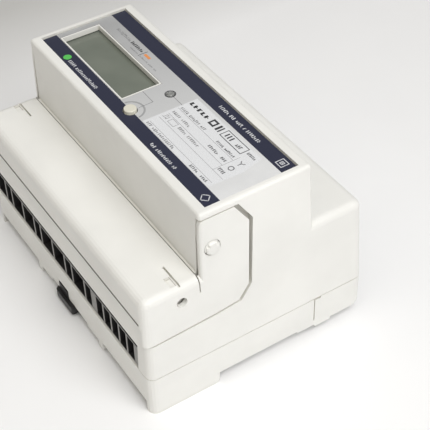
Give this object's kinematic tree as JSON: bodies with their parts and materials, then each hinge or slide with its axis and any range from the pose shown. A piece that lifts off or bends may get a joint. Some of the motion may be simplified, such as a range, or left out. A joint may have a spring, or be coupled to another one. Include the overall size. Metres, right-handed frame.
{
  "type": "electricity meter",
  "caption": "Rail-mounted electricity meter with a raised display block, a hinged terminal cover, rising-cage screw terminals, a push button and a sprung rail latch.",
  "frame": {"origin": "under the middle of the housing, on the plane of its feet, with the meter lying on its back", "axes": "+X to the meter's right, +Y to its top, +Z out of its face"},
  "size_m": [0.1226, 0.0916, 0.0803],
  "materials": {
    "white_housing_plastic": "fine satin texture",
    "cream_button_plastic": "satin",
    "grey_terminal_plastic": "matte",
    "silver_face_film": "printed film with dark blue bands",
    "display_glass": "smooth",
    "black_plastic": "satin",
    "red_case_plastic": "moulded",
    "blue_case_plastic": "moulded",
    "board_laminate": "solder mask",
    "clear_plastic": "polished",
    "plated_steel": "zinc plated",
    "copper": "bare copper strip",
    "brass": "machined"
  },
  "bodies": {
    "housing": {"base_tray": "white_housing_plastic", "upper_housing": "white_housing_plastic", "terminal_block": "grey_terminal_plastic", "face_plate": "silver_face_film", "lcd_glass": "display_glass", "cover_hinge_pin_left": "white_housing_plastic", "cover_hinge_pin_right": "white_housing_plastic", "housing_screw_front_left": "plated_steel", "housing_screw_front_right": "plated_steel", "housing_screw_rear_left": "plated_steel", "housing_screw_rear_right": "plated_steel", "main_board": "board_laminate", "display_board": "board_laminate", "lcd_carrier": "grey_terminal_plastic", "button_switch": "black_plastic", "supply_transformer": "blue_case_plastic", "suppressor_capacitor": "red_case_plastic", "smoothing_capacitor": "black_plastic", "board_connector": "black_plastic", "phase_1_busbar": "copper", "phase_2_busbar": "copper", "phase_3_busbar": "copper", "current_transformer_1": "blue_case_plastic", "current_transformer_2": "blue_case_plastic", "current_transformer_3": "blue_case_plastic", "pulse_light_pipe": "clear_plastic", "latch_spring": "plated_steel"},
    "cover": {"terminal_cover": "white_housing_plastic"},
    "button": {"push_button": "cream_button_plastic"},
    "latch": {"rail_latch": "black_plastic"},
    "phase_1_in_screw": {"phase_1_in_screw": "plated_steel"},
    "phase_1_in_clamp": {"phase_1_in_clamp": "brass"},
    "phase_1_voltage_screw": {"phase_1_voltage_screw": "plated_steel"},
    "phase_1_voltage_clamp": {"phase_1_voltage_clamp": "brass"},
    "phase_1_out_screw": {"phase_1_out_screw": "plated_steel"},
    "phase_1_out_clamp": {"phase_1_out_clamp": "brass"},
    "phase_2_in_screw": {"phase_2_in_screw": "plated_steel"},
    "phase_2_in_clamp": {"phase_2_in_clamp": "brass"},
    "phase_2_voltage_screw": {"phase_2_voltage_screw": "plated_steel"},
    "phase_2_voltage_clamp": {"phase_2_voltage_clamp": "brass"},
    "phase_2_out_screw": {"phase_2_out_screw": "plated_steel"},
    "phase_2_out_clamp": {"phase_2_out_clamp": "brass"},
    "phase_3_in_screw": {"phase_3_in_screw": "plated_steel"},
    "phase_3_in_clamp": {"phase_3_in_clamp": "brass"},
    "phase_3_voltage_screw": {"phase_3_voltage_screw": "plated_steel"},
    "phase_3_voltage_clamp": {"phase_3_voltage_clamp": "brass"},
    "phase_3_out_screw": {"phase_3_out_screw": "plated_steel"},
    "phase_3_out_clamp": {"phase_3_out_clamp": "brass"},
    "neutral_screw": {"neutral_screw": "plated_steel"},
    "neutral_clamp": {"neutral_clamp": "brass"},
    "signal_1_screw": {"signal_1_screw": "plated_steel"},
    "signal_1_clamp": {"signal_1_clamp": "brass"},
    "signal_2_screw": {"signal_2_screw": "plated_steel"},
    "signal_2_clamp": {"signal_2_clamp": "brass"},
    "signal_3_screw": {"signal_3_screw": "plated_steel"},
    "signal_3_clamp": {"signal_3_clamp": "brass"},
    "signal_4_screw": {"signal_4_screw": "plated_steel"},
    "signal_4_clamp": {"signal_4_clamp": "brass"},
    "signal_5_screw": {"signal_5_screw": "plated_steel"},
    "signal_5_clamp": {"signal_5_clamp": "brass"}
  },
  "joints": [
    {"name": "cover_hinge", "type": "hinge", "parent": "housing", "child": "cover", "pos_m": [0, -0.0174, 0.0648], "axis": [-1, 0, 0], "range_deg": [0, 110]},
    {"name": "button_press", "type": "slide", "parent": "housing", "child": "button", "axis": [0, 0, -1], "range_m": [0, 0.0006], "stiffness_N_per_m": 1500, "springref_m": -0.0004},
    {"name": "latch_slide", "type": "slide", "parent": "housing", "child": "latch", "axis": [0, -1, 0], "range_m": [0, 0.004], "stiffness_N_per_m": 1200, "springref_m": -0.002, "deforming": ["latch_spring"]},
    {"name": "phase_1_in_screw_turn", "type": "hinge", "parent": "housing", "child": "phase_1_in_screw", "pos_m": [-0.05385, -0.036, 0.034], "axis": [0, 0, -1], "range_deg": [0, 1810]},
    {"name": "phase_1_in_clamp_rise", "type": "slide", "parent": "housing", "child": "phase_1_in_clamp", "axis": [0, 0, 1], "range_m": [0, 0.004]},
    {"name": "phase_1_voltage_screw_turn", "type": "hinge", "parent": "housing", "child": "phase_1_voltage_screw", "pos_m": [-0.0472, -0.036, 0.034], "axis": [0, 0, -1], "range_deg": [0, 2170]},
    {"name": "phase_1_voltage_clamp_rise", "type": "slide", "parent": "housing", "child": "phase_1_voltage_clamp", "axis": [0, 0, 1], "range_m": [0, 0.003]},
    {"name": "phase_1_out_screw_turn", "type": "hinge", "parent": "housing", "child": "phase_1_out_screw", "pos_m": [-0.03955, -0.036, 0.034], "axis": [0, 0, -1], "range_deg": [0, 1810]},
    {"name": "phase_1_out_clamp_rise", "type": "slide", "parent": "housing", "child": "phase_1_out_clamp", "axis": [0, 0, 1], "range_m": [0, 0.004]},
    {"name": "phase_2_in_screw_turn", "type": "hinge", "parent": "housing", "child": "phase_2_in_screw", "pos_m": [-0.02985, -0.036, 0.034], "axis": [0, 0, -1], "range_deg": [0, 1810]},
    {"name": "phase_2_in_clamp_rise", "type": "slide", "parent": "housing", "child": "phase_2_in_clamp", "axis": [0, 0, 1], "range_m": [0, 0.004]},
    {"name": "phase_2_voltage_screw_turn", "type": "hinge", "parent": "housing", "child": "phase_2_voltage_screw", "pos_m": [-0.0222, -0.036, 0.034], "axis": [0, 0, -1], "range_deg": [0, 2170]},
    {"name": "phase_2_voltage_clamp_rise", "type": "slide", "parent": "housing", "child": "phase_2_voltage_clamp", "axis": [0, 0, 1], "range_m": [0, 0.003]},
    {"name": "phase_2_out_screw_turn", "type": "hinge", "parent": "housing", "child": "phase_2_out_screw", "pos_m": [-0.01455, -0.036, 0.034], "axis": [0, 0, -1], "range_deg": [0, 1810]},
    {"name": "phase_2_out_clamp_rise", "type": "slide", "parent": "housing", "child": "phase_2_out_clamp", "axis": [0, 0, 1], "range_m": [0, 0.004]},
    {"name": "phase_3_in_screw_turn", "type": "hinge", "parent": "housing", "child": "phase_3_in_screw", "pos_m": [-0.00485, -0.036, 0.034], "axis": [0, 0, -1], "range_deg": [0, 1810]},
    {"name": "phase_3_in_clamp_rise", "type": "slide", "parent": "housing", "child": "phase_3_in_clamp", "axis": [0, 0, 1], "range_m": [0, 0.004]},
    {"name": "phase_3_voltage_screw_turn", "type": "hinge", "parent": "housing", "child": "phase_3_voltage_screw", "pos_m": [0.0028, -0.036, 0.034], "axis": [0, 0, -1], "range_deg": [0, 2170]},
    {"name": "phase_3_voltage_clamp_rise", "type": "slide", "parent": "housing", "child": "phase_3_voltage_clamp", "axis": [0, 0, 1], "range_m": [0, 0.003]},
    {"name": "phase_3_out_screw_turn", "type": "hinge", "parent": "housing", "child": "phase_3_out_screw", "pos_m": [0.01045, -0.036, 0.034], "axis": [0, 0, -1], "range_deg": [0, 1810]},
    {"name": "phase_3_out_clamp_rise", "type": "slide", "parent": "housing", "child": "phase_3_out_clamp", "axis": [0, 0, 1], "range_m": [0, 0.004]},
    {"name": "neutral_screw_turn", "type": "hinge", "parent": "housing", "child": "neutral_screw", "pos_m": [0.018, -0.036, 0.034], "axis": [0, 0, -1], "range_deg": [0, 2170]},
    {"name": "neutral_clamp_rise", "type": "slide", "parent": "housing", "child": "neutral_clamp", "axis": [0, 0, 1], "range_m": [0, 0.003]},
    {"name": "signal_1_screw_turn", "type": "hinge", "parent": "housing", "child": "signal_1_screw", "pos_m": [0.02635, -0.036, 0.034], "axis": [0, 0, -1], "range_deg": [0, 2170]},
    {"name": "signal_1_clamp_rise", "type": "slide", "parent": "housing", "child": "signal_1_clamp", "axis": [0, 0, 1], "range_m": [0, 0.003]},
    {"name": "signal_2_screw_turn", "type": "hinge", "parent": "housing", "child": "signal_2_screw", "pos_m": [0.03185, -0.036, 0.034], "axis": [0, 0, -1], "range_deg": [0, 2170]},
    {"name": "signal_2_clamp_rise", "type": "slide", "parent": "housing", "child": "signal_2_clamp", "axis": [0, 0, 1], "range_m": [0, 0.003]},
    {"name": "signal_3_screw_turn", "type": "hinge", "parent": "housing", "child": "signal_3_screw", "pos_m": [0.03735, -0.036, 0.034], "axis": [0, 0, -1], "range_deg": [0, 2170]},
    {"name": "signal_3_clamp_rise", "type": "slide", "parent": "housing", "child": "signal_3_clamp", "axis": [0, 0, 1], "range_m": [0, 0.003]},
    {"name": "signal_4_screw_turn", "type": "hinge", "parent": "housing", "child": "signal_4_screw", "pos_m": [0.04285, -0.036, 0.034], "axis": [0, 0, -1], "range_deg": [0, 2170]},
    {"name": "signal_4_clamp_rise", "type": "slide", "parent": "housing", "child": "signal_4_clamp", "axis": [0, 0, 1], "range_m": [0, 0.003]},
    {"name": "signal_5_screw_turn", "type": "hinge", "parent": "housing", "child": "signal_5_screw", "pos_m": [0.04835, -0.036, 0.034], "axis": [0, 0, -1], "range_deg": [0, 2170]},
    {"name": "signal_5_clamp_rise", "type": "slide", "parent": "housing", "child": "signal_5_clamp", "axis": [0, 0, 1], "range_m": [0, 0.003]}
  ],
  "couplings": [
    {"joint": "phase_1_in_screw_turn", "follows": "phase_1_in_clamp_rise", "rad_per_m": 7854},
    {"joint": "phase_1_voltage_screw_turn", "follows": "phase_1_voltage_clamp_rise", "rad_per_m": 12566},
    {"joint": "phase_1_out_screw_turn", "follows": "phase_1_out_clamp_rise", "rad_per_m": 7854},
    {"joint": "phase_2_in_screw_turn", "follows": "phase_2_in_clamp_rise", "rad_per_m": 7854},
    {"joint": "phase_2_voltage_screw_turn", "follows": "phase_2_voltage_clamp_rise", "rad_per_m": 12566},
    {"joint": "phase_2_out_screw_turn", "follows": "phase_2_out_clamp_rise", "rad_per_m": 7854},
    {"joint": "phase_3_in_screw_turn", "follows": "phase_3_in_clamp_rise", "rad_per_m": 7854},
    {"joint": "phase_3_voltage_screw_turn", "follows": "phase_3_voltage_clamp_rise", "rad_per_m": 12566},
    {"joint": "phase_3_out_screw_turn", "follows": "phase_3_out_clamp_rise", "rad_per_m": 7854},
    {"joint": "neutral_screw_turn", "follows": "neutral_clamp_rise", "rad_per_m": 12566},
    {"joint": "signal_1_screw_turn", "follows": "signal_1_clamp_rise", "rad_per_m": 12566},
    {"joint": "signal_2_screw_turn", "follows": "signal_2_clamp_rise", "rad_per_m": 12566},
    {"joint": "signal_3_screw_turn", "follows": "signal_3_clamp_rise", "rad_per_m": 12566},
    {"joint": "signal_4_screw_turn", "follows": "signal_4_clamp_rise", "rad_per_m": 12566},
    {"joint": "signal_5_screw_turn", "follows": "signal_5_clamp_rise", "rad_per_m": 12566}
  ]
}
